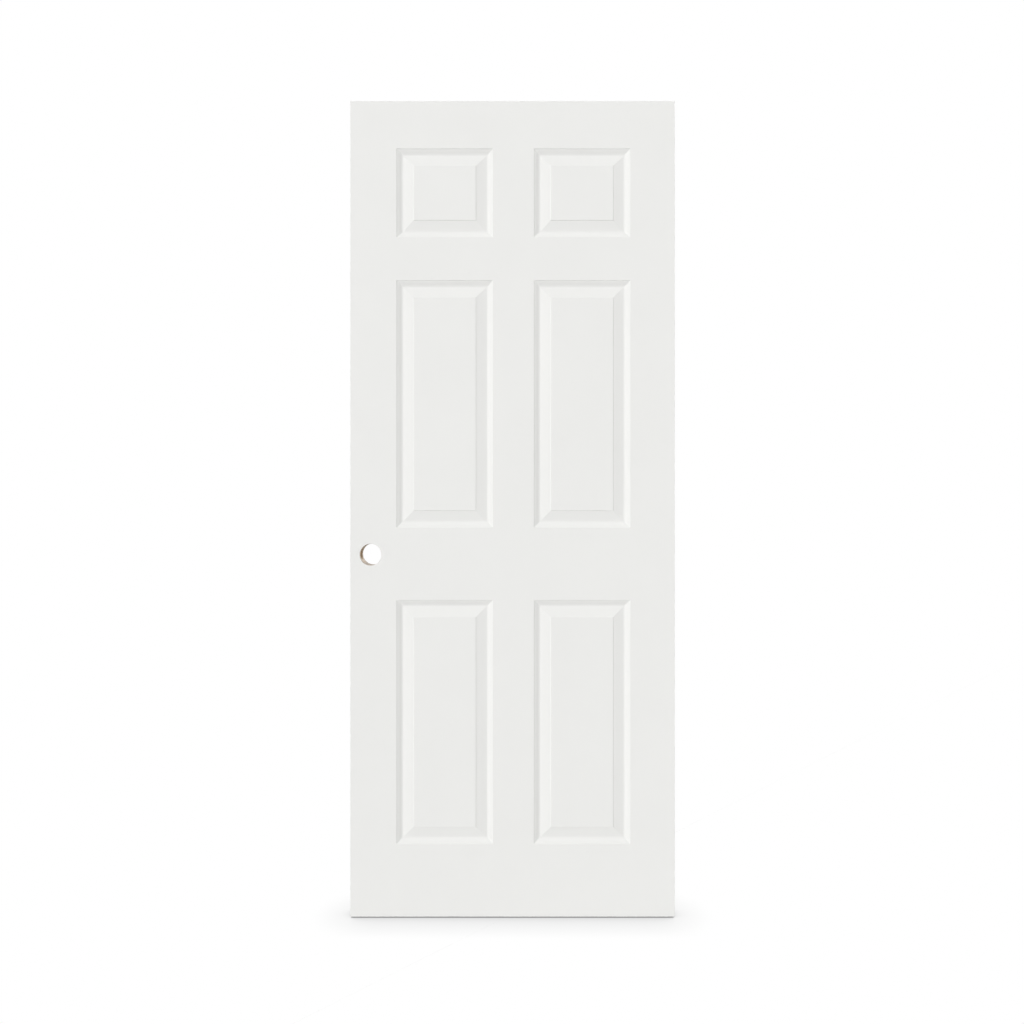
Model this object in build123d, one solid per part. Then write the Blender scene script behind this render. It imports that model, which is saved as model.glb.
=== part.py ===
from build123d import *
import os
from functools import partial
from math import atan2, cos, radians, sin, tan

# Moulded six-panel front door slab, bored for a cylindrical lock and its latch.
# Two pressed fibreboard skins are glued over a softwood frame that holds a particleboard core.
# X runs across the width with the lock edge at -X, Y runs through the thickness with the front
# face at -Y, and Z is up. The origin is the middle of the bottom edge. Lengths are millimetres.

# Slab: the back has the full width, because both long edges are bevelled towards the front
DOOR_WIDTH = 812.8
DOOR_HEIGHT = 2032.0
DOOR_THICKNESS = 44.45
EDGE_BEVEL_DEGREES = 3.0

# Flat faces between the panels, measured on the front
LOCK_STILE_FACE = 115.6
HINGE_STILE_FACE = 110.7
MULLION_FACE = 102.4
TOP_RAIL_FACE = 118.6
FRIEZE_RAIL_FACE = 108.0
LOCK_RAIL_FACE = 181.0
BOTTOM_RAIL_FACE = 181.2

# Panel heights: the middle pair takes what the rails and the other panels leave
TOP_PANEL_HEIGHT = 220.4
BOTTOM_PANEL_HEIGHT = 607.3

# Moulding round each panel, in order from the flat face to the raised field
QUIRK_RUN = 0.9
QUIRK_DROP = 1.3
SWELL_RUN = 7.6
SWELL_DROP = 2.7
SWELL_START_DEGREES = 11.0
HOLLOW_RUN = 6.3
GROOVE_RUN = 1.2
GROOVE_DEPTH = 6.0
BEVEL_RUN = 26.1
FIELD_STEP_RUN = 0.4
FIELD_STEP_DROP = 0.8

# Skins and the frame between them
SKIN_THICKNESS = 3.2
STILE_WIDTH = 35.0
TOP_RAIL_DEPTH = 45.0
BOTTOM_RAIL_DEPTH = 90.0
LOCK_BLOCK_HEIGHT = 360.0
LOCK_BLOCK_MARGIN = 4.0
GLUE_LINE = 0.2

# Lock preparation: the backset is measured from the lock edge of the front face
LOCK_BORE_DIAMETER = 54.0
LOCK_BACKSET = 50.8
LOCK_HEIGHT = 902.0
LATCH_BORE_DIAMETER = 25.4

# How far every cutting shape runs past what it cuts
CUT_OVERRUN = 5.0

# Planes of the slab and of the frame between the skins
BACK_Y = DOOR_THICKNESS / 2
FRONT_Y = -BACK_Y
FRAME_BACK_Y = BACK_Y - SKIN_THICKNESS
FRAME_FRONT_Y = -FRAME_BACK_Y
FRAME_INNER_X = DOOR_WIDTH / 2 - STILE_WIDTH
TOP_RAIL_Z = DOOR_HEIGHT - TOP_RAIL_DEPTH


def half_width(y):
    """Half the slab's width at depth y: full at the back, narrowest at the front."""
    return DOOR_WIDTH / 2 - (BACK_Y - y) * tan(radians(EDGE_BEVEL_DEGREES))


# Panel layout on the front face, from the lock edge and from the bottom
FRONT_LOCK_X = -half_width(FRONT_Y)
PANEL_WIDTH = (2 * half_width(FRONT_Y) - LOCK_STILE_FACE - MULLION_FACE - HINGE_STILE_FACE) / 2
LOCK_PANEL_X = FRONT_LOCK_X + LOCK_STILE_FACE
HINGE_PANEL_X = LOCK_PANEL_X + PANEL_WIDTH + MULLION_FACE
BOTTOM_PANEL_Z = BOTTOM_RAIL_FACE
MIDDLE_PANEL_Z = BOTTOM_PANEL_Z + BOTTOM_PANEL_HEIGHT + LOCK_RAIL_FACE
TOP_PANEL_Z = DOOR_HEIGHT - TOP_RAIL_FACE - TOP_PANEL_HEIGHT
MIDDLE_PANEL_HEIGHT = TOP_PANEL_Z - FRIEZE_RAIL_FACE - MIDDLE_PANEL_Z

# Distances of the moulding's turns from the panel's outer edge, and the slopes between them
OGEE_TURN = QUIRK_RUN + SWELL_RUN
OGEE_FOOT = OGEE_TURN + HOLLOW_RUN
BEVEL_FOOT = OGEE_FOOT + GROOVE_RUN
BEVEL_HEAD = BEVEL_FOOT + BEVEL_RUN
FIELD_EDGE = BEVEL_HEAD + FIELD_STEP_RUN
OGEE_SLOPE = atan2(GROOVE_DEPTH, OGEE_FOOT)
BEVEL_SLOPE = atan2(GROOVE_DEPTH, FIELD_EDGE - BEVEL_FOOT)


def panels():
    """Left edge, bottom and height of each panel."""
    rows = [
        (BOTTOM_PANEL_Z, BOTTOM_PANEL_HEIGHT),
        (MIDDLE_PANEL_Z, MIDDLE_PANEL_HEIGHT),
        (TOP_PANEL_Z, TOP_PANEL_HEIGHT),
    ]
    return [(left, bottom, height) for bottom, height in rows for left in (LOCK_PANEL_X, HINGE_PANEL_X)]


def both_sides(near, span):
    """Outline through the points of the near side and their mirror image at the far side."""
    far = [(span - run, depth) for run, depth in reversed(near)]
    return make_face(Polyline(*near, *far, close=True))


def ogee(quirk, turn, foot, start):
    """Curve of the moulding: a swell that leaves the quirk at a start slope and turns to a hollow."""
    swell = TangentArc(quirk, turn, tangent=start)
    return [swell, TangentArc(turn, foot, tangent=swell % 1)]


def pan_outline(span):
    """Section of the pan sunk into the face: a quirk and an ogee down to the groove."""
    start = radians(SWELL_START_DEGREES)
    near = [(QUIRK_RUN, QUIRK_DROP), (OGEE_TURN, QUIRK_DROP + SWELL_DROP), (OGEE_FOOT, GROOVE_DEPTH)]
    far = [(span - run, depth) for run, depth in near]
    near_ogee = ogee(*near, (cos(start), sin(start)))
    far_ogee = ogee(*far, (-cos(start), sin(start)))
    floor = Line(near[-1], far[-1])
    lip = Polyline(far[0], (span, 0), (span, -CUT_OVERRUN), (0, -CUT_OVERRUN), (0, 0), near[0])
    return make_face([*near_ogee, floor, *far_ogee, lip])


def raised_outline(span):
    """Section of the raised panel that stands in the pan: a bevel, a small step and the field."""
    base = (BEVEL_FOOT, GROOVE_DEPTH + CUT_OVERRUN)
    return both_sides(
        [base, (BEVEL_FOOT, GROOVE_DEPTH), (BEVEL_HEAD, FIELD_STEP_DROP), (FIELD_EDGE, 0)], span
    )


def ridge_outline(span, thickness):
    """Section behind the sheet over a whole panel, with walls along the ogee's slope."""
    lean = thickness * tan(OGEE_SLOPE / 2)
    return both_sides([(-lean, thickness), (OGEE_FOOT - lean, GROOVE_DEPTH + thickness)], span)


def ridge_hollow_outline(span, thickness):
    """Section of the hollow behind the raised panel, with walls along the bevel's slope."""
    lean = thickness * tan(BEVEL_SLOPE / 2)
    foot, head = BEVEL_FOOT + lean, FIELD_EDGE + lean
    depth = GROOVE_DEPTH + thickness
    return both_sides([(foot, depth + CUT_OVERRUN), (foot, depth), (head, thickness)], span)


def crossed(outline, left, bottom, height):
    """Run an outline up and across a panel: where the two runs meet, the corners are mitred."""
    below = Plane(origin=(left, FRONT_Y, bottom - CUT_OVERRUN), x_dir=(1, 0, 0), z_dir=(0, 0, 1))
    right = left + PANEL_WIDTH + CUT_OVERRUN
    beside = Plane(origin=(right, FRONT_Y, bottom), x_dir=(0, 0, 1), z_dir=(-1, 0, 0))
    run_up = extrude(below * outline(PANEL_WIDTH), height + 2 * CUT_OVERRUN)
    run_across = extrude(beside * outline(height), PANEL_WIDTH + 2 * CUT_OVERRUN)
    return run_up & run_across


def face_mouldings():
    """What is sunk into the front face: a mitred moulding round each panel."""
    return [crossed(pan_outline, *panel) - crossed(raised_outline, *panel) for panel in panels()]


def back_ridges(thickness):
    """What the mouldings raise behind a sheet of this thickness: a ridge round each panel."""
    outer = partial(ridge_outline, thickness=thickness)
    hollow = partial(ridge_hollow_outline, thickness=thickness)
    return [crossed(outer, *panel) - crossed(hollow, *panel) for panel in panels()]


def on_the_back(shapes):
    """The same shapes on the other face of the slab."""
    return [mirror(shape, Plane.XZ) for shape in shapes]


def slab_layer(front_y, back_y):
    """Full-height layer of the slab between two depths, with its long edges bevelled."""
    near, far = half_width(front_y), half_width(back_y)
    plan = Polyline((-near, front_y), (near, front_y), (far, back_y), (-far, back_y), close=True)
    return extrude(make_face(plan), DOOR_HEIGHT)


def lock_bore():
    """Cross bore for the lock body, right through the slab."""
    place = Pos(FRONT_LOCK_X + LOCK_BACKSET, 0, LOCK_HEIGHT)
    return place * Rot(X=90) * Cylinder(LOCK_BORE_DIAMETER / 2, DOOR_THICKNESS + 2 * CUT_OVERRUN)


def latch_bore():
    """Edge bore for the latch, from outside the lock edge to the middle of the cross bore."""
    inner_end = FRONT_LOCK_X + LOCK_BACKSET
    length = inner_end + DOOR_WIDTH / 2 + CUT_OVERRUN
    place = Pos(inner_end - length / 2, 0, LOCK_HEIGHT)
    return place * Rot(Y=90) * Cylinder(LATCH_BORE_DIAMETER / 2, length)


def skins():
    """Front and rear skins: sheets pressed with the mouldings, so that their backs follow them."""
    mouldings, ridges = face_mouldings(), back_ridges(SKIN_THICKNESS)
    front = slab_layer(FRONT_Y, FRAME_FRONT_Y) + ridges - mouldings
    rear = slab_layer(FRAME_BACK_Y, BACK_Y) + on_the_back(ridges) - on_the_back(mouldings)
    return front - lock_bore(), rear - lock_bore()


def stile(side):
    """Full-height stile: side -1 is at the lock edge and side 1 at the hinge edge."""
    plan = Polyline(
        (side * half_width(FRAME_FRONT_Y), FRAME_FRONT_Y),
        (side * half_width(FRAME_BACK_Y), FRAME_BACK_Y),
        (side * FRAME_INNER_X, FRAME_BACK_Y),
        (side * FRAME_INNER_X, FRAME_FRONT_Y),
        close=True,
    )
    return extrude(make_face(plan), DOOR_HEIGHT, dir=(0, 0, 1))


def frame_box(left, right, bottom, top, clearance=0):
    """Block between the skins, smaller by a clearance on every side."""
    depth = FRAME_BACK_Y - FRAME_FRONT_Y
    block = Box(right - left - 2 * clearance, depth - 2 * clearance, top - bottom - 2 * clearance)
    return Pos((left + right) / 2, 0, (bottom + top) / 2) * block


def lock_block(clearance=0):
    """Block beside the lock stile that fills the flat up to the panel mouldings."""
    moulding_reach = SKIN_THICKNESS * tan(OGEE_SLOPE / 2)
    right = LOCK_PANEL_X - moulding_reach - LOCK_BLOCK_MARGIN
    bottom = LOCK_HEIGHT - LOCK_BLOCK_HEIGHT / 2
    return frame_box(-FRAME_INNER_X, right, bottom, bottom + LOCK_BLOCK_HEIGHT, clearance)


def core_board():
    """Core that fills the frame round the lock block, grooved to clear the ridges of both skins."""
    core = frame_box(-FRAME_INNER_X, FRAME_INNER_X, BOTTOM_RAIL_DEPTH, TOP_RAIL_Z, GLUE_LINE)
    ridges = back_ridges(SKIN_THICKNESS + GLUE_LINE)
    return core - ridges - on_the_back(ridges) - lock_block(-GLUE_LINE)


def main():
    """Build every piece and write each to its own file."""
    front_skin, rear_skin = skins()
    pieces = {
        "front_skin": front_skin,
        "rear_skin": rear_skin,
        "lock_stile": stile(-1) - lock_bore() - latch_bore(),
        "hinge_stile": stile(1),
        "top_rail": frame_box(-FRAME_INNER_X, FRAME_INNER_X, TOP_RAIL_Z, DOOR_HEIGHT),
        "bottom_rail": frame_box(-FRAME_INNER_X, FRAME_INNER_X, 0, BOTTOM_RAIL_DEPTH),
        "lock_block": lock_block() - lock_bore() - latch_bore(),
        "core_board": core_board(),
    }
    os.makedirs("parts", exist_ok=True)
    for name, piece in pieces.items():
        export_step(piece, f"parts/{name}.step")


main()
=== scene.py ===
import logging
import math
from collections.abc import Callable, Iterable, Iterator
from contextlib import contextmanager
from dataclasses import dataclass
from enum import Enum
from typing import Any

import bmesh
import bpy
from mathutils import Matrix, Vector


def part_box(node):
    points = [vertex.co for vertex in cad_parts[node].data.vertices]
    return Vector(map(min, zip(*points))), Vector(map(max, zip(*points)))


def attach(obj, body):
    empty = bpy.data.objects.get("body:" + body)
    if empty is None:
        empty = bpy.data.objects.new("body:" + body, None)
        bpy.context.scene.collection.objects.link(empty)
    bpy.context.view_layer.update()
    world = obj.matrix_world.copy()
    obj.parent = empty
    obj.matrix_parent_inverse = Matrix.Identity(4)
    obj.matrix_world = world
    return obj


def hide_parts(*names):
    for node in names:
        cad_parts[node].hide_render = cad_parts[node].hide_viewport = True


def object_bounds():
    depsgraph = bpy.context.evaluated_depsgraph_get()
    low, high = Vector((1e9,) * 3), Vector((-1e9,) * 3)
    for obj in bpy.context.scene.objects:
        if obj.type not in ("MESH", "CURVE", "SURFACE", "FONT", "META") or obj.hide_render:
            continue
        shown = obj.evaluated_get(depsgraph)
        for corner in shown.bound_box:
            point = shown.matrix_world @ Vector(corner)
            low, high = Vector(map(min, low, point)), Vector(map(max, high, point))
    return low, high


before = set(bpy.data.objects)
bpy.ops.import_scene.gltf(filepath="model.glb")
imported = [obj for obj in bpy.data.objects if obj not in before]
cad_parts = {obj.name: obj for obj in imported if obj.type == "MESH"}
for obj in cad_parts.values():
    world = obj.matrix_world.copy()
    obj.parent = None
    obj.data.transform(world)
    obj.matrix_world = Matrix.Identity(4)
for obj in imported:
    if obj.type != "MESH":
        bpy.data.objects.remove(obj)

# A moulded six-panel front door slab: pressed fibreboard skins, primed white, glued over a
# softwood frame, and bored for a cylindrical lock. It stands as the CAD model does: front face at
# -Y, lock edge at -X, Z up, the bottom edge on z = 0. Lengths are metres.

LOG = logging.getLogger("front_door")
MM = 0.001
QUARTER_TURN = math.radians(90.0)
CAD_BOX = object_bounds()
SLAB_LOW, SLAB_HIGH = CAD_BOX
BODY = "root"

# Both long edges of the slab lean in towards the front by this much
EDGE_BEVEL = math.radians(3.0)
# Two places count as the same within this distance, when faces and edges are picked
TOUCH = 0.02 * MM
# Share of a face's normal along an axis with which it looks roughly, nearly or fully that way
ROUGHLY = 0.5
NEARLY = 0.9
FULLY = 0.98
# Shortest run of an edge that counts as part of a mitre, and how far it may be off the diagonal
MITRE_REACH = 0.004 * MM
MITRE_SLACK = 0.001 * MM
# Edges that turn by more than this stay crisp
CRISP = math.radians(40.0)
# How far the larger faces lead the smooth shading, out of 100, where 50 is neutral
FACE_LEAD = 100
# Blender's wave texture runs through a full cycle over this length at a scale of one
WAVE_SPAN = 2 * math.pi / 20
# The sRGB curve: a straight foot, and above it a power of the shifted share of the full byte
FULL_BYTE = 255
SRGB_FOOT = 0.04045
SRGB_FOOT_SLOPE = 12.92
SRGB_SHIFT = 0.055
SRGB_POWER = 2.4
# Heart of the tree that each pine timber was sawn from, as seen from the timber's middle
LOCK_HEART = (47.0 * MM, -31.0 * MM, 0.0)
HINGE_HEART = (-52.0 * MM, 24.0 * MM, 0.0)
TOP_HEART = (0.0, -58.0 * MM, 12.0 * MM)
BOTTOM_HEART = (0.0, 61.0 * MM, -18.0 * MM)

Colour = tuple[float, float, float, float]
Triple = tuple[float, float, float]
# Test of a face's centre and normal, or of an edge's two ends
Wanted = Callable[[Vector, Vector], bool]


class Side(Enum):
    """Face of the slab that a skin covers: the value is the way that it looks along Y."""

    FRONT = -1.0
    REAR = 1.0


class Edge(Enum):
    """Long edge of the slab that a timber shows at: the value is the way that it looks along X."""

    LOCK = -1.0
    NONE = 0.0
    HINGE = 1.0


class Grain(Enum):
    """Way that a timber's grain runs: the value names the axis."""

    ACROSS = "X"
    UPRIGHT = "Z"


def half_width(y: float) -> float:
    """Half the slab's width at depth y, which is full at the back and least at the front."""
    return SLAB_HIGH.x - (SLAB_HIGH.y - y) * math.tan(EDGE_BEVEL)


def at_end(place: Vector) -> bool:
    """Whether a place is at the top or the bottom of the slab."""
    return place.z < SLAB_LOW.z + TOUCH or place.z > SLAB_HIGH.z - TOUCH


def on_mitre(a: Vector, b: Vector) -> bool:
    """Whether an edge lies in a panel corner's mitre, where two runs of the moulding meet."""
    across, up = abs(a.x - b.x), abs(a.z - b.z)
    return across > MITRE_REACH and abs(across - up) < MITRE_SLACK


def linear(code: str) -> Colour:
    """Turn an sRGB hex code into the linear colour that Blender's sockets take.

    Args:
        code: colour as "#RRGGBB".

    Returns:
        Linear red, green, blue and an alpha of one.
    """
    shares = [int(code[place : place + 2], 16) / FULL_BYTE for place in (1, 3, 5)]
    red, green, blue = (
        share / SRGB_FOOT_SLOPE
        if share <= SRGB_FOOT
        else ((share + SRGB_SHIFT) / (1 + SRGB_SHIFT)) ** SRGB_POWER
        for share in shares
    )
    return red, green, blue, 1.0


def add_node(
    tree: bpy.types.NodeTree,
    kind: str,
    inputs: dict[str | int, Any] | None = None,
    ramp: Iterable[tuple[float, str]] = (),
    **settings: Any,
) -> bpy.types.Node:
    """Add a shader node with its settings and links.

    Args:
        tree: node tree that takes the node.
        kind: Blender's name of the node type.
        inputs: what each input socket gets, an output socket to link or a value to set.
        ramp: places and hex colours of a colour ramp.
        **settings: attributes of the node itself.

    Returns:
        The new node.
    """
    node = tree.nodes.new(kind)
    for name, value in settings.items():
        setattr(node, name, value)
    for key, value in (inputs or {}).items():
        if isinstance(value, bpy.types.NodeSocket):
            tree.links.new(value, node.inputs[key])
        else:
            node.inputs[key].default_value = value
    for number, (place, code) in enumerate(ramp):
        stops = node.color_ramp.elements
        stop = stops[number] if number < len(stops) else stops.new(place)
        stop.position, stop.color = place, linear(code)
    return node


def select_only(*pieces: bpy.types.Object) -> None:
    """Select these pieces and nothing else, with the last of them active.

    Args:
        *pieces: objects to select.
    """
    bpy.ops.object.select_all(action="DESELECT")
    for piece in pieces:
        piece.select_set(True)
        bpy.context.view_layer.objects.active = piece


@contextmanager
def editing(piece: bpy.types.Object) -> Iterator[None]:
    """Open one piece in edit mode with nothing selected, and close it again.

    Args:
        piece: mesh object to edit.

    Returns:
        A context in which the mesh operators act on that piece alone.
    """
    select_only(piece)
    bpy.ops.object.mode_set(mode="EDIT")
    bpy.ops.mesh.select_all(action="DESELECT")
    yield
    bpy.ops.object.mode_set(mode="OBJECT")


def pick_faces(piece: bpy.types.Object, wanted: Wanted) -> int:
    """Select faces of the piece in edit mode by their place and normal.

    Args:
        piece: mesh object that is in edit mode.
        wanted: test of a face's centre and normal.

    Returns:
        How many faces are selected.
    """
    bpy.ops.mesh.select_mode(type="FACE")
    bpy.ops.mesh.select_all(action="DESELECT")
    mesh = bmesh.from_edit_mesh(piece.data)
    faces = [face for face in mesh.faces if wanted(face.calc_center_median(), face.normal)]
    for face in faces:
        face.select_set(True)
    bmesh.update_edit_mesh(piece.data)
    return len(faces)


def pick_edges(piece: bpy.types.Object, wanted: Wanted) -> None:
    """Select edges of the piece in edit mode by their two ends.

    Args:
        piece: mesh object that is in edit mode.
        wanted: test of an edge's two ends.
    """
    bpy.ops.mesh.select_mode(type="EDGE")
    bpy.ops.mesh.select_all(action="DESELECT")
    mesh = bmesh.from_edit_mesh(piece.data)
    edges = [edge for edge in mesh.edges if wanted(edge.verts[0].co, edge.verts[1].co)]
    for edge in edges:
        edge.select_set(True)
    bmesh.update_edit_mesh(piece.data)


def apply_modifier(piece: bpy.types.Object, kind: str, **settings: Any) -> None:
    """Put one modifier on a piece and apply it at once.

    Args:
        piece: mesh object to change.
        kind: Blender's name of the modifier type.
        **settings: attributes of the modifier.
    """
    modifier = piece.modifiers.new(kind.lower(), kind)
    for name, value in settings.items():
        setattr(modifier, name, value)
    select_only(piece)
    bpy.ops.object.modifier_apply(modifier=modifier.name)


def coat_faces(piece: bpy.types.Object, coat: bpy.types.Material, wanted: Wanted) -> None:
    """Add a second material to a piece and give it to the picked faces.

    Args:
        piece: mesh object that has its main material.
        coat: material of the picked faces.
        wanted: test of a face's centre and normal.
    """
    piece.data.materials.append(coat)
    with editing(piece):
        if pick_faces(piece, wanted):
            piece.active_material_index = len(piece.data.materials) - 1
            bpy.ops.object.material_slot_assign()


def settle(piece: bpy.types.Object, node: str) -> None:
    """Finish a modelled piece: shade it, and put it in its CAD node's place.

    Args:
        piece: finished mesh object, with its place in its mesh.
        node: CAD node that it stands for.
    """
    select_only(piece)
    bpy.ops.object.shade_smooth_by_angle(angle=CRISP)
    apply_modifier(piece, "WEIGHTED_NORMAL", mode="FACE_AREA", weight=FACE_LEAD, keep_sharp=True)
    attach(piece, BODY)
    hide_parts(node)
    LOG.info("%s: %d faces in place of %s", piece.name, len(piece.data.polygons), node)


@dataclass(frozen=True)
class Finish:
    """A material that is made once and then shared by the pieces that carry it."""

    name: str

    def material(self) -> bpy.types.Material:
        """Make the material, or find the one that was made before.

        Returns:
            The finished material.
        """
        made = bpy.data.materials.get(self.name)
        if made is None:
            made = bpy.data.materials.new(self.name)
            made.use_nodes = True
            shader = made.node_tree.nodes["Principled BSDF"]
            coords = add_node(made.node_tree, "ShaderNodeTexCoord").outputs["Object"]
            self.weave(made.node_tree, shader, coords)
        return made

    def weave(
        self, tree: bpy.types.NodeTree, shader: bpy.types.Node, coords: bpy.types.NodeSocket
    ) -> None:
        """Link the finish's own pattern to the shader.

        Args:
            tree: node tree of the material.
            shader: its Principled shader.
            coords: object coordinates.
        """
        raise NotImplementedError


@dataclass(frozen=True)
class Primer(Finish):
    """White alkyd primer, sprayed on at the works.

    It gives the eye an even, faintly warm white with a low sheen. The spray leaves a shallow
    orange peel, and what lies under it shows through as a slight stretch of that texture.
    """

    light: str = "#EDEDEB"
    shade: str = "#ECECEA"
    # Levels of the drift's noise that give the shade and the light tone
    tone_places: tuple[float, float] = (0.35, 0.65)
    drift: float = 160.0 * MM
    drift_detail: float = 3.0
    # The peel's real cells are about a millimetre, drawn coarser so that they show
    peel: Triple = (2.6 * MM, 2.6 * MM, 2.6 * MM)
    peel_height: float = 0.015 * MM
    peel_detail: float = 2.0
    peel_harshness: float = 0.4
    sheen_drift: float = 45.0 * MM
    roughness: tuple[float, float] = (0.62, 0.72)
    gloss: float = 0.2

    def weave(
        self, tree: bpy.types.NodeTree, shader: bpy.types.Node, coords: bpy.types.NodeSocket
    ) -> None:
        """Link the primer's tone, sheen and orange peel to the shader.

        Args:
            tree: node tree of the material.
            shader: its Principled shader.
            coords: object coordinates.
        """
        drift = add_node(
            tree,
            "ShaderNodeTexNoise",
            {"Vector": coords, "Scale": 1 / self.drift, "Detail": self.drift_detail},
        )
        tone = add_node(
            tree,
            "ShaderNodeValToRGB",
            {"Fac": drift.outputs["Fac"]},
            ramp=zip(self.tone_places, (self.shade, self.light)),
        )
        sheen = add_node(
            tree, "ShaderNodeTexNoise", {"Vector": coords, "Scale": 1 / self.sheen_drift}
        )
        low, high = self.roughness
        rough = add_node(
            tree,
            "ShaderNodeMapRange",
            {"Value": sheen.outputs["Fac"], "To Min": low, "To Max": high},
        )
        cells = add_node(
            tree, "ShaderNodeMapping", {"Vector": coords, "Scale": [1 / size for size in self.peel]}
        )
        peel = add_node(
            tree,
            "ShaderNodeTexNoise",
            {
                "Vector": cells.outputs["Vector"],
                "Scale": 1.0,
                "Detail": self.peel_detail,
                "Roughness": self.peel_harshness,
            },
        )
        bump = add_node(
            tree, "ShaderNodeBump", {"Height": peel.outputs["Fac"], "Distance": self.peel_height}
        )
        shader.inputs["Specular IOR Level"].default_value = self.gloss
        tree.links.new(tone.outputs["Color"], shader.inputs["Base Color"])
        tree.links.new(rough.outputs["Result"], shader.inputs["Roughness"])
        tree.links.new(bump.outputs["Normal"], shader.inputs["Normal"])


@dataclass(frozen=True)
class RawFibreboard(Finish):
    """Fibreboard where a saw has cut it, so that the pressed wood fibre lies bare.

    It gives the eye a matt brown felt of fine fibre, in thin layers that lie with the sheet, and
    shallow rings where a hole saw went through.
    """

    pale: str = "#BDAA93"
    dark: str = "#937E67"
    # Levels of the felt's noise that give the dark and the pale tone
    tone_places: tuple[float, float] = (0.3, 0.62)
    # Fibre bundles are about half a millimetre, drawn coarser so that they show
    fibre: float = 1.3 * MM
    layer: float = 0.5 * MM
    felt_depth: float = 0.08 * MM
    felt_detail: float = 4.0
    felt_harshness: float = 0.65
    saw_ring: float = 1.1 * MM
    saw_depth: float = 0.06 * MM
    saw_waver: float = 0.6
    roughness: float = 0.88

    def weave(
        self, tree: bpy.types.NodeTree, shader: bpy.types.Node, coords: bpy.types.NodeSocket
    ) -> None:
        """Link the felt of fibre and the saw's rings to the shader.

        Args:
            tree: node tree of the material.
            shader: its Principled shader.
            coords: object coordinates.
        """
        sizes = (self.fibre, self.layer, self.fibre)
        cells = add_node(
            tree, "ShaderNodeMapping", {"Vector": coords, "Scale": [1 / size for size in sizes]}
        )
        felt = add_node(
            tree,
            "ShaderNodeTexNoise",
            {
                "Vector": cells.outputs["Vector"],
                "Scale": 1.0,
                "Detail": self.felt_detail,
                "Roughness": self.felt_harshness,
            },
        )
        tone = add_node(
            tree,
            "ShaderNodeValToRGB",
            {"Fac": felt.outputs["Fac"]},
            ramp=zip(self.tone_places, (self.dark, self.pale)),
        )
        rings = add_node(
            tree,
            "ShaderNodeTexWave",
            {"Vector": coords, "Scale": WAVE_SPAN / self.saw_ring, "Distortion": self.saw_waver},
            bands_direction="Y",
        )
        scored = add_node(
            tree, "ShaderNodeBump", {"Height": rings.outputs["Fac"], "Distance": self.saw_depth}
        )
        bump = add_node(
            tree,
            "ShaderNodeBump",
            {
                "Height": felt.outputs["Fac"],
                "Distance": self.felt_depth,
                "Normal": scored.outputs["Normal"],
            },
        )
        shader.inputs["Roughness"].default_value = self.roughness
        tree.links.new(tone.outputs["Color"], shader.inputs["Base Color"])
        tree.links.new(bump.outputs["Normal"], shader.inputs["Normal"])


@dataclass(frozen=True)
class Softwood(Finish):
    """Planed pine, bare where the slab was cut to size.

    It gives the eye pale yellow wood with darker lines of late growth: long streaks along the
    grain, and arcs of rings on the sawn ends.
    """

    grain: Grain = Grain.UPRIGHT
    early: str = "#E6DCCB"
    late: str = "#BDA689"
    # Levels of the rings and streaks together that give the early and the late tone
    tone_places: tuple[float, float] = (0.25, 1.0)
    # Rings of fast-grown pine, drawn at the wide end of their range so that they show
    ring: float = 7.5 * MM
    ring_waver: float = 2.4
    waver_detail: float = 2.0
    waver_scale: float = 0.35
    # How fast the rings waver along the grain, as a share of how fast they do across it
    along_share: float = 0.06
    # Where the heart of the tree would lie beside the timber
    pith: Triple = (0.0, 0.0, 0.0)
    fibre: float = 0.9 * MM
    fibre_length: float = 45.0 * MM
    fibre_detail: float = 3.0
    # Weight of the fibre's streaks in the tone, beside the rings
    fibre_share: float = 0.45
    pore_depth: float = 0.05 * MM
    roughness: float = 0.72

    def weave(
        self, tree: bpy.types.NodeTree, shader: bpy.types.Node, coords: bpy.types.NodeSocket
    ) -> None:
        """Link the growth rings and the fibre to the shader.

        Args:
            tree: node tree of the material.
            shader: its Principled shader.
            coords: object coordinates.
        """
        along = "XYZ".index(self.grain.value)
        stretch = [self.along_share if axis == along else 1.0 for axis in range(3)]
        trunk = add_node(
            tree,
            "ShaderNodeMapping",
            {
                "Vector": coords,
                "Location": [-place * share for place, share in zip(self.pith, stretch)],
                "Scale": stretch,
            },
        )
        rings = add_node(
            tree,
            "ShaderNodeTexWave",
            {
                "Vector": trunk.outputs["Vector"],
                "Scale": WAVE_SPAN / self.ring,
                "Distortion": self.ring_waver,
                "Detail": self.waver_detail,
                "Detail Scale": self.waver_scale,
            },
            wave_type="RINGS",
            rings_direction=self.grain.value,
            wave_profile="SAW",
        )
        sizes = [self.fibre_length if axis == along else self.fibre for axis in range(3)]
        cells = add_node(
            tree, "ShaderNodeMapping", {"Vector": coords, "Scale": [1 / size for size in sizes]}
        )
        fibre = add_node(
            tree,
            "ShaderNodeTexNoise",
            {"Vector": cells.outputs["Vector"], "Scale": 1.0, "Detail": self.fibre_detail},
        )
        streaks = add_node(
            tree,
            "ShaderNodeMath",
            {0: fibre.outputs["Fac"], 1: self.fibre_share, 2: rings.outputs["Fac"]},
            operation="MULTIPLY_ADD",
        )
        tone = add_node(
            tree,
            "ShaderNodeValToRGB",
            {"Fac": streaks.outputs["Value"]},
            ramp=zip(self.tone_places, (self.early, self.late)),
        )
        bump = add_node(
            tree, "ShaderNodeBump", {"Height": fibre.outputs["Fac"], "Distance": self.pore_depth}
        )
        shader.inputs["Roughness"].default_value = self.roughness
        tree.links.new(tone.outputs["Color"], shader.inputs["Base Color"])
        tree.links.new(bump.outputs["Normal"], shader.inputs["Normal"])


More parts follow.
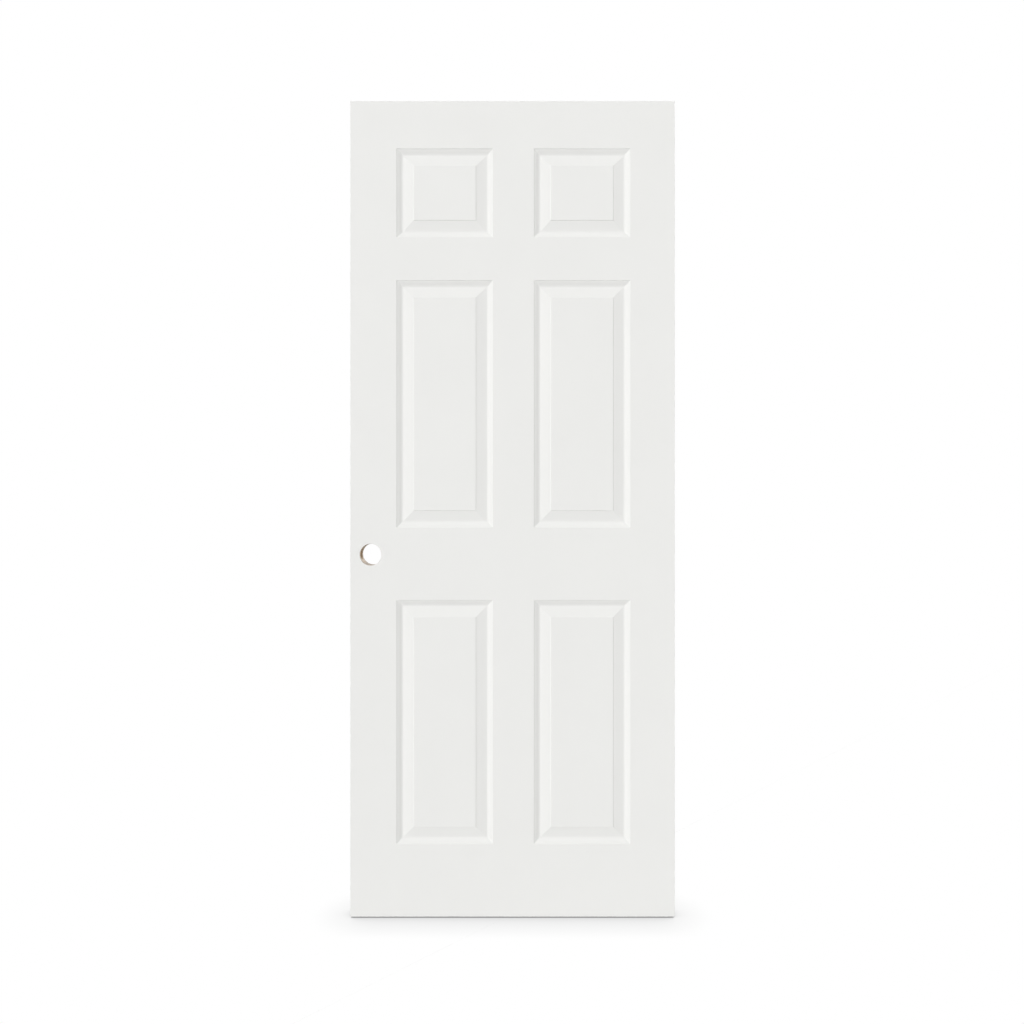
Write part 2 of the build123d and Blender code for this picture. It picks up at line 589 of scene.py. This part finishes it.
@dataclass(frozen=True)
class Particleboard(Finish):
    """Pressed particleboard, as it comes from the mill.

    It gives the eye a mosaic of tan wood flakes with small dark gaps between them.
    """

    pale: str = "#D2B58C"
    dark: str = "#A5835A"
    # Levels of a flake's own random shade that give the dark and the pale tone
    tone_places: tuple[float, float] = (0.2, 0.8)
    flake: float = 4.5 * MM
    gap_depth: float = 0.2 * MM
    roughness: float = 0.9

    def weave(
        self, tree: bpy.types.NodeTree, shader: bpy.types.Node, coords: bpy.types.NodeSocket
    ) -> None:
        """Link the flakes to the shader.

        Args:
            tree: node tree of the material.
            shader: its Principled shader.
            coords: object coordinates.
        """
        flakes = add_node(
            tree, "ShaderNodeTexVoronoi", {"Vector": coords, "Scale": 1 / self.flake}
        )
        tone = add_node(
            tree,
            "ShaderNodeValToRGB",
            {"Fac": flakes.outputs["Color"]},
            ramp=zip(self.tone_places, (self.dark, self.pale)),
        )
        bump = add_node(
            tree, "ShaderNodeBump", {"Height": flakes.outputs["Distance"], "Distance": self.gap_depth}
        )
        shader.inputs["Roughness"].default_value = self.roughness
        tree.links.new(tone.outputs["Color"], shader.inputs["Base Color"])
        tree.links.new(bump.outputs["Normal"], shader.inputs["Normal"])


@dataclass(frozen=True)
class Finishes:
    """The finishes of the whole door."""

    primed_board: Finish = Primer("alkyd_primer_on_fibreboard")
    primed_wood: Finish = Primer("alkyd_primer_on_pine", peel=(1.6 * MM, 1.6 * MM, 30.0 * MM))
    raw_board: Finish = RawFibreboard("sawn_fibreboard_edge")
    block: Finish = RawFibreboard("sawn_fibreboard_block", pale="#DDD4C9", dark="#C4B8AA")
    core: Finish = Particleboard("pressed_particleboard")


@dataclass(frozen=True)
class Moulding:
    """Pressed moulding round a panel, from the flat face to the raised field.

    A small quirk drops from the face, an ogee swells and hollows down to a groove, and from there
    a bevel and a last small step rise to the field, which is flush with the face.
    """

    quirk_run: float = 0.9 * MM
    quirk_drop: float = 1.3 * MM
    swell_run: float = 7.6 * MM
    swell_drop: float = 2.7 * MM
    swell_start: float = math.radians(11.0)
    hollow_run: float = 6.3 * MM
    groove_run: float = 1.2 * MM
    groove_depth: float = 6.0 * MM
    bevel_run: float = 25.5 * MM
    step_run: float = 1.0 * MM
    step_drop: float = 1.2 * MM
    # How far from each turn the press's rounding starts
    face_ease: float = 0.3 * MM
    quirk_ease: float = 0.3 * MM
    groove_ease: float = 0.5 * MM
    step_ease: float = 0.06 * MM
    field_ease: float = 0.1 * MM
    arc_facets: int = 7
    round_facets: int = 4

    @property
    def swell_foot(self) -> float:
        """Distance of the ogee's turn from the panel's edge."""
        return self.quirk_run + self.swell_run

    @property
    def ogee_foot(self) -> float:
        """Distance of the ogee's foot from the panel's edge."""
        return self.swell_foot + self.hollow_run

    @property
    def bevel_foot(self) -> float:
        """Distance of the bevel's foot from the panel's edge."""
        return self.ogee_foot + self.groove_run

    @property
    def bevel_head(self) -> float:
        """Distance of the bevel's upper end from the panel's edge."""
        return self.bevel_foot + self.bevel_run

    @property
    def field_edge(self) -> float:
        """Distance of the field's edge from the panel's edge."""
        return self.bevel_head + self.step_run

    def ogee(self) -> list[Triple]:
        """Work out the ogee, two arcs that run into each other.

        Returns:
            Run, depth and no easing for the points between the ogee's two ends.
        """
        spots = [
            Vector((self.quirk_run, self.quirk_drop)),
            Vector((self.swell_foot, self.quirk_drop + self.swell_drop)),
            Vector((self.ogee_foot, self.groove_depth)),
        ]
        start = self.swell_start
        points = []
        for spot, goal in zip(spots, spots[1:]):
            chord = goal - spot
            turn = 2 * (math.atan2(chord.y, chord.x) - start)
            radius = chord.length / 2 / math.sin(turn / 2)
            for facet in range(1, self.arc_facets + 1):
                angle = start + turn * facet / self.arc_facets
                run = spot.x + radius * (math.sin(angle) - math.sin(start))
                depth = spot.y + radius * (math.cos(start) - math.cos(angle))
                points.append((run, depth, 0.0))
            start += turn
        return points[:-1]

    def face_section(self) -> list[Vector]:
        """Work out the section of the face, with its turns rounded.

        Returns:
            Run and depth of each point, from the flat face to the field.
        """
        turns = [
            (0.0, 0.0, self.face_ease),
            (self.quirk_run, self.quirk_drop, self.quirk_ease),
            *self.ogee(),
            (self.ogee_foot, self.groove_depth, self.groove_ease),
            (self.bevel_foot, self.groove_depth, self.groove_ease),
            (self.bevel_head, self.step_drop, self.step_ease),
            (self.field_edge, 0.0, self.field_ease),
        ]
        spots = [Vector(turn[:2]) for turn in turns]
        spots = [Vector((-self.field_edge, 0.0)), *spots, Vector((2 * self.field_edge, 0.0))]
        section = []
        for before, spot, after, turn in zip(spots, spots[1:], spots[2:], turns):
            ease = turn[2]
            enter = spot + (before - spot).normalized() * ease
            leave = spot + (after - spot).normalized() * ease
            for facet in range(self.round_facets + 1) if ease else [0]:
                share = facet / self.round_facets
                section.append(enter.lerp(spot, share).lerp(spot.lerp(leave, share), share))
        return section

    def back_section(self, thickness: float) -> list[Vector]:
        """Work out the section of the sheet's back, a plain ridge behind the moulding.

        Args:
            thickness: thickness of the sheet.

        Returns:
            Run and depth of each point, measured from the back of the flat.
        """
        outer = thickness * math.tan(math.atan2(self.groove_depth, self.ogee_foot) / 2)
        rise = self.field_edge - self.bevel_foot
        inner = thickness * math.tan(math.atan2(self.groove_depth, rise) / 2)
        return [
            Vector((-outer, 0.0)),
            Vector((self.ogee_foot - outer, self.groove_depth)),
            Vector((self.bevel_foot + inner, self.groove_depth)),
            Vector((self.field_edge + inner, 0.0)),
        ]


@dataclass(frozen=True)
class PanelLayout:
    """Where the six panels lie, from the flat faces between them as measured on the front."""

    lock_stile_face: float = 115.6 * MM
    hinge_stile_face: float = 110.7 * MM
    mullion_face: float = 102.4 * MM
    top_rail_face: float = 118.6 * MM
    frieze_rail_face: float = 108.0 * MM
    lock_rail_face: float = 181.0 * MM
    bottom_rail_face: float = 181.2 * MM
    top_panel_height: float = 220.4 * MM
    bottom_panel_height: float = 607.3 * MM

    def columns(self) -> list[tuple[float, float]]:
        """Work out the two columns of panels.

        Returns:
            Left and right edge of each column.
        """
        half = half_width(SLAB_LOW.y)
        left, right = self.lock_stile_face - half, half - self.hinge_stile_face
        width = (right - left - self.mullion_face) / 2
        return [(left, left + width), (right - width, right)]

    def rows(self) -> list[tuple[float, float]]:
        """Work out the three rows of panels.

        Returns:
            Bottom and top of each row.
        """
        low = SLAB_LOW.z + self.bottom_rail_face
        high = SLAB_HIGH.z - self.top_rail_face
        bottom = (low, low + self.bottom_panel_height)
        top = (high - self.top_panel_height, high)
        middle = (bottom[1] + self.lock_rail_face, top[0] - self.frieze_rail_face)
        return [bottom, middle, top]


@dataclass(frozen=True)
class LockBores:
    """Cross bore for the lock body and edge bore for its latch."""

    backset: float = 50.8 * MM
    height: float = 902.0 * MM
    cross_radius: float = 27.0 * MM
    latch_radius: float = 12.7 * MM
    overrun: float = 5.0 * MM
    facets: int = 144

    @property
    def centre(self) -> Vector:
        """Middle of the cross bore."""
        return Vector((self.backset - half_width(SLAB_LOW.y), 0.0, self.height))

    def from_cross_axis(self, place: Vector) -> float:
        """Distance of a place from the cross bore's axis."""
        return math.hypot(place.x - self.centre.x, place.z - self.centre.z)

    def cut(
        self, piece: bpy.types.Object, place: Vector, turn: Triple, radius: float, length: float
    ) -> None:
        """Cut one round hole through a piece.

        Args:
            piece: mesh object to cut.
            place: middle of the hole.
            turn: Euler angles that turn the Z axis along the hole.
            radius: radius of the hole.
            length: length of the cutter.
        """
        bpy.ops.object.select_all(action="DESELECT")
        bpy.ops.mesh.primitive_cylinder_add(
            vertices=self.facets, radius=radius, depth=length, location=place, rotation=turn
        )
        cutter = bpy.context.object
        apply_modifier(piece, "BOOLEAN", operation="DIFFERENCE", solver="EXACT", object=cutter)
        bpy.data.objects.remove(cutter)

    def cut_cross(self, piece: bpy.types.Object) -> None:
        """Cut the cross bore right through a piece."""
        length = SLAB_HIGH.y - SLAB_LOW.y + 2 * self.overrun
        self.cut(piece, self.centre, (QUARTER_TURN, 0.0, 0.0), self.cross_radius, length)

    def cut_latch(self, piece: bpy.types.Object) -> None:
        """Cut the latch bore from the lock edge to the middle of the cross bore."""
        start = SLAB_LOW.x - self.overrun
        place = Vector(((start + self.centre.x) / 2, self.centre.y, self.centre.z))
        length = self.centre.x - start
        self.cut(piece, place, (0.0, QUARTER_TURN, 0.0), self.latch_radius, length)


@dataclass
class DoorSkin:
    """Pressed skin of one face: a thin sheet with the six panels in it, bored for the lock."""

    side: Side
    node: str
    layout: PanelLayout
    moulding: Moulding
    bores: LockBores
    finishes: Finishes
    thickness: float = 3.2 * MM
    # How far the edges are eased: at the face, at the back and at the mouth of the lock bore
    arris: float = 0.7 * MM
    glue_arris: float = 0.25 * MM
    bore_arris: float = 0.2 * MM
    arris_facets: int = 3

    @property
    def face_y(self) -> float:
        """Depth of the flat of the face."""
        return SLAB_LOW.y if self.side is Side.FRONT else SLAB_HIGH.y

    @property
    def back_y(self) -> float:
        """Depth of the flat of the sheet's back."""
        return self.face_y - self.side.value * self.thickness

    def press_sheet(self, y: float, section: list[Vector]) -> bpy.types.Object:
        """Add a flat sheet and press the panels into it, one ring of the section at a time.

        Args:
            y: depth of the flat.
            section: run and depth of the pressing's points, from the flat to the field.

        Returns:
            The open sheet, which looks outwards.
        """
        width, height = 2 * half_width(y), SLAB_HIGH.z - SLAB_LOW.z
        bpy.ops.object.select_all(action="DESELECT")
        bpy.ops.mesh.primitive_plane_add(
            size=1.0,
            location=(0.0, y, SLAB_LOW.z + height / 2),
            rotation=(-self.side.value * QUARTER_TURN, 0.0, 0.0),
        )
        sheet = bpy.context.object
        sheet.scale = (width, height, 1.0)
        bpy.ops.object.transform_apply(location=True, rotation=True, scale=True)
        lead = section[0].x
        columns = [(left + lead, right - lead) for left, right in self.layout.columns()]
        rows = [(bottom + lead, top - lead) for bottom, top in self.layout.rows()]
        with editing(sheet):
            cuts = [((x, 0.0, 0.0), (1.0, 0.0, 0.0)) for column in columns for x in column]
            cuts += [((0.0, 0.0, z), (0.0, 0.0, 1.0)) for row in rows for z in row]
            for place, normal in cuts:
                bpy.ops.mesh.select_all(action="SELECT")
                bpy.ops.mesh.bisect(plane_co=place, plane_no=normal)
            pick_faces(
                sheet,
                lambda centre, normal: any(low < centre.x < high for low, high in columns)
                and any(low < centre.z < high for low, high in rows),
            )
            for start, end in zip(section, section[1:]):
                bpy.ops.mesh.inset(
                    thickness=end.x - start.x, depth=start.y - end.y, use_individual=True
                )
        return sheet

    def on_rim(self, place: Vector, y: float) -> bool:
        """Whether a place is on the outline of the sheet at depth y."""
        beside = abs(abs(place.x) - half_width(y)) < TOUCH
        return abs(place.y - y) <= TOUCH and (beside or at_end(place))

    def along_rim(self, a: Vector, b: Vector, y: float) -> bool:
        """Whether an edge runs along the outline at depth y, and not across the sheet."""
        along = abs(a.x - b.x) < TOUCH or (abs(a.z - b.z) < TOUCH and at_end(a))
        return along and self.on_rim(a, y) and self.on_rim(b, y)

    def at_mouth(self, place: Vector) -> bool:
        """Whether a place is on the rim of the lock bore in the face."""
        from_wall = abs(self.bores.from_cross_axis(place) - self.bores.cross_radius)
        return from_wall < TOUCH and abs(place.y - self.face_y) < TOUCH

    def build(self) -> bpy.types.Object:
        """Press both surfaces of the sheet, close its edges, ease them and cut the lock bore.

        Returns:
            The skin's mesh object.
        """
        back = self.press_sheet(self.back_y, self.moulding.back_section(self.thickness))
        with editing(back):
            bpy.ops.mesh.select_all(action="SELECT")
            bpy.ops.mesh.flip_normals()
        skin = self.press_sheet(self.face_y, self.moulding.face_section())
        skin.name = skin.data.name = f"{self.node}_pressed"
        select_only(back, skin)
        bpy.ops.object.join()
        rims = ((self.face_y, self.arris), (self.back_y, self.glue_arris))
        with editing(skin):
            pick_edges(skin, lambda a, b: any(self.along_rim(a, b, y) for y, _ in rims))
            bpy.ops.mesh.bridge_edge_loops()
            for rim_y, arris in rims:
                pick_edges(skin, lambda a, b: self.along_rim(a, b, rim_y))
                bpy.ops.mesh.bevel(offset=arris, segments=self.arris_facets)
        self.bores.cut_cross(skin)
        with editing(skin):
            pick_edges(skin, lambda a, b: self.at_mouth(a) and self.at_mouth(b))
            bpy.ops.mesh.bevel(offset=self.bore_arris, segments=self.arris_facets)
            pick_edges(skin, on_mitre)
            bpy.ops.mesh.mark_sharp()
        return skin

    def dress(self, skin: bpy.types.Object) -> None:
        """Prime the face and the long edges, and leave the cut fibre bare.

        Args:
            skin: the skin's mesh object.
        """
        skin.data.materials.append(self.finishes.primed_board.material())
        bare_radius = self.bores.cross_radius + self.bore_arris + TOUCH
        coat_faces(
            skin,
            self.finishes.raw_board.material(),
            lambda centre, normal: normal.y * self.side.value < -ROUGHLY
            or (abs(normal.z) > NEARLY and at_end(centre))
            or (abs(normal.y) < FULLY and self.bores.from_cross_axis(centre) < bare_radius),
        )
        settle(skin, self.node)


@dataclass
class FrameTimber:
    """One pine timber of the frame, cut to its CAD node's box, with its edges eased."""

    node: str
    finishes: Finishes
    bores: LockBores
    grain: Grain = Grain.UPRIGHT
    # Where the heart of the tree lay, from the middle of the timber
    heart: Triple = (0.0, 0.0, 0.0)
    edge: Edge = Edge.NONE
    is_bored: bool = False
    slot: str = "softwood"
    arris: float = 0.5 * MM
    arris_facets: int = 2

    def bare(self) -> Finish:
        """Pine of this timber, with its growth rings round the heart."""
        low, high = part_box(self.node)
        pith = (low + high) / 2 + Vector(self.heart)
        return Softwood(f"pine_{self.node}", self.grain, pith=tuple(pith))

    def build(self) -> bpy.types.Object:
        """Cut the timber to size, lean its outer edge, ease its edges and bore it.

        Returns:
            The timber's mesh object.
        """
        low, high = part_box(self.node)
        bpy.ops.object.select_all(action="DESELECT")
        bpy.ops.mesh.primitive_cube_add(size=1.0, location=(low + high) / 2)
        timber = bpy.context.object
        timber.name = timber.data.name = f"{self.node}_planed"
        timber.scale = high - low
        bpy.ops.object.transform_apply(location=True, rotation=True, scale=True)
        with editing(timber):
            if self.edge is not Edge.NONE:
                edge_x = low.x if self.edge is Edge.LOCK else high.x
                pick_edges(
                    timber,
                    lambda a, b: all(
                        abs(end.x - edge_x) < TOUCH and abs(end.y - low.y) < TOUCH for end in (a, b)
                    ),
                )
                lean = half_width(low.y) - half_width(high.y)
                bpy.ops.transform.translate(value=(self.edge.value * lean, 0.0, 0.0))
            bpy.ops.mesh.select_all(action="SELECT")
            bpy.ops.mesh.bevel(offset=self.arris, segments=self.arris_facets)
        if self.is_bored:
            self.bores.cut_cross(timber)
            self.bores.cut_latch(timber)
        return timber

    def dress(self, timber: bpy.types.Object) -> None:
        """Leave the wood bare, and prime the edge that shows on the finished slab.

        Args:
            timber: the timber's mesh object.
        """
        timber.data.materials.append(self.bare().material())
        if self.edge is not Edge.NONE:
            primer = self.finishes.primed_wood.material()
            coat_faces(timber, primer, lambda centre, normal: normal.x * self.edge.value > NEARLY)
        settle(timber, self.node)


@dataclass
class LockBlock(FrameTimber):
    """Block of fibreboard beside the lock stile, which gives the lock bore solid walls."""

    slot: str = "block_fibreboard"

    def bare(self) -> Finish:
        """Fibreboard of the block."""
        return self.finishes.block


@dataclass
class Studio:
    """White floor, an even dome of light, two broad lamps and the camera that sees the door."""

    # How far the camera stands from the door's face, and where
    distance: float = 2.0
    camera_x: float = -1.1 * MM
    camera_z: float = 1008.2 * MM
    # Height and width of the photographed square, in the plane of the door's face
    frame_width: float = 2550.7 * MM
    # Width of the camera's sensor, in millimetres as Blender has it, and so the lens too
    sensor: float = 36.0
    floor_size: float = 400.0
    # Gap under the slab, which shows as the dark line at its foot
    floor_drop: float = 3.6 * MM
    floor_colour: str = "#BCBCBB"
    # How far the door's shade reaches over the floor, and what shows by how open the place is:
    # painted shade, a tone from ambient occlusion that the floor's seen colour takes
    shade_reach: float = 100.0 * MM
    shade_samples: int = 24
    shade: tuple[tuple[float, str], ...] = (
        (0.0, "#808080"),
        (0.3, "#AEAEAE"),
        (0.5, "#E3E3E3"),
        (0.63, "#F0F0F0"),
        (0.78, "#F6F6F6"),
        (0.9, "#FAFAFA"),
        (1.0, "#FFFFFF"),
    )
    # Even light of the dome, and what each lamp adds on a surface that meets it square: the key
    # from the front left, and a low lamp behind that shows the relief of the back
    dome_colour: str = "#FFFFFF"
    dome_level: float = 0.44
    key_level: float = 0.876
    key_from: Triple = (-0.486, -0.857, 0.176)
    back_level: float = 0.72
    back_from: Triple = (0.36, 0.92, 0.15)
    lamp_spread: float = math.radians(45.0)

    def build(self) -> None:
        """Set up the view transform, the dome, the lamps, the floor and the camera."""
        bpy.context.scene.view_settings.view_transform = "Standard"
        self.light_dome()
        self.hang_lamp("studio_key", self.key_level, self.key_from)
        self.hang_lamp("studio_back", self.back_level, self.back_from)
        self.lay_floor()
        self.place_camera()

    def light_dome(self) -> None:
        """Make the dome: white to the eye, and an even soft light from all sides."""
        world = bpy.data.worlds.new("white_studio_dome")
        world.use_nodes = True
        bpy.context.scene.world = world
        tree = world.node_tree
        tree.nodes.clear()
        colour = linear(self.dome_colour)
        light = add_node(
            tree, "ShaderNodeBackground", {"Color": colour, "Strength": self.dome_level}
        )
        seen = add_node(tree, "ShaderNodeBackground", {"Color": colour, "Strength": 1.0})
        mixed = add_node(
            tree,
            "ShaderNodeMixShader",
            {0: self.seen_rays(tree), 1: light.outputs[0], 2: seen.outputs[0]},
        )
        add_node(tree, "ShaderNodeOutputWorld", {"Surface": mixed.outputs[0]})

    def seen_rays(self, tree: bpy.types.NodeTree) -> bpy.types.NodeSocket:
        """Tell the rays that show the studio to the eye from those that only carry light.

        Args:
            tree: node tree of the dome or of the floor.

        Returns:
            A socket that is one for a ray that is seen, straight, in gloss or through glass.
        """
        path = add_node(tree, "ShaderNodeLightPath")
        glossy = add_node(
            tree,
            "ShaderNodeMath",
            {0: path.outputs["Is Camera Ray"], 1: path.outputs["Is Glossy Ray"]},
            operation="MAXIMUM",
        )
        shown = add_node(
            tree,
            "ShaderNodeMath",
            {0: glossy.outputs["Value"], 1: path.outputs["Is Transmission Ray"]},
            operation="MAXIMUM",
        )
        return shown.outputs["Value"]

    def hang_lamp(self, name: str, level: float, way: Triple) -> None:
        """Hang a soft lamp, which is as broad as a large softbox.

        Args:
            name: name of the lamp.
            level: light on a surface that meets it square, as a share of what shows white as white.
            way: direction that the light comes from.
        """
        lamp = bpy.data.lights.new(name, "SUN")
        lamp.energy = math.pi * level
        lamp.angle = self.lamp_spread
        stand = bpy.data.objects.new(name, lamp)
        stand.rotation_euler = Vector(way).to_track_quat("Z", "Y").to_euler()
        bpy.context.scene.collection.objects.link(stand)

    def lay_floor(self) -> None:
        """Lay a matt pale floor that the eye sees as white, with painted shade from ambient occlusion
        where the door covers it.
        """
        bpy.ops.object.select_all(action="DESELECT")
        bpy.ops.mesh.primitive_plane_add(
            size=self.floor_size, location=(0.0, 0.0, SLAB_LOW.z - self.floor_drop)
        )
        floor = bpy.context.object
        floor.name = "studio_floor"
        bpy.ops.object.transform_apply(location=True, rotation=True, scale=True)
        paper = bpy.data.materials.new("matt_white_paper")
        paper.use_nodes = True
        tree = paper.node_tree
        tree.nodes.clear()
        sheet = add_node(tree, "ShaderNodeBsdfDiffuse", {"Color": linear(self.floor_colour)})
        cover = add_node(
            tree,
            "ShaderNodeAmbientOcclusion",
            {"Distance": self.shade_reach},
            samples=self.shade_samples,
        )
        # Painted shade: the floor's seen colour darkens by the ambient occlusion near the door
        shade = add_node(tree, "ShaderNodeValToRGB", {"Fac": cover.outputs["AO"]}, ramp=self.shade)
        seen = add_node(tree, "ShaderNodeEmission", {"Color": shade.outputs["Color"]})
        mixed = add_node(
            tree,
            "ShaderNodeMixShader",
            {0: self.seen_rays(tree), 1: sheet.outputs[0], 2: seen.outputs[0]},
        )
        add_node(tree, "ShaderNodeOutputMaterial", {"Surface": mixed.outputs[0]})
        floor.data.materials.append(paper)

    def place_camera(self) -> None:
        """Put the camera square in front of the door, with the lens that frames the photograph."""
        camera = bpy.data.cameras.new("studio_camera")
        camera.sensor_width = self.sensor
        camera.lens = self.sensor * self.distance / self.frame_width
        stand = bpy.data.objects.new("studio_camera", camera)
        stand.location = (self.camera_x, SLAB_LOW.y - self.distance, self.camera_z)
        stand.rotation_euler = (QUARTER_TURN, 0.0, 0.0)
        bpy.context.scene.collection.objects.link(stand)
        bpy.context.scene.camera = stand


def build_door(finishes: Finishes) -> None:
    """Build and dress every piece of the door.

    Args:
        finishes: the door's finishes.
    """
    layout, moulding, bores = PanelLayout(), Moulding(), LockBores()
    for side, node in ((Side.FRONT, "front_skin"), (Side.REAR, "rear_skin")):
        skin = DoorSkin(side, node, layout, moulding, bores, finishes)
        skin.dress(skin.build())
    across = Grain.ACROSS
    timbers = [
        FrameTimber("lock_stile", finishes, bores, heart=LOCK_HEART, edge=Edge.LOCK, is_bored=True),
        FrameTimber("hinge_stile", finishes, bores, heart=HINGE_HEART, edge=Edge.HINGE),
        FrameTimber("top_rail", finishes, bores, across, TOP_HEART),
        FrameTimber("bottom_rail", finishes, bores, across, BOTTOM_HEART),
        LockBlock("lock_block", finishes, bores, is_bored=True),
    ]
    for timber in timbers:
        timber.dress(timber.build())
    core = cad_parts["core_board"]
    core.data.materials.clear()
    core.data.materials.append(finishes.core.material())
    LOG.info("core_board: CAD node with %s", finishes.core.name)


def main() -> None:
    """Build the door and the studio in order."""
    logging.basicConfig(level=logging.INFO, format="%(name)s %(message)s")
    build_door(Finishes())
    Studio().build()


if __name__ == "__main__":
    main()
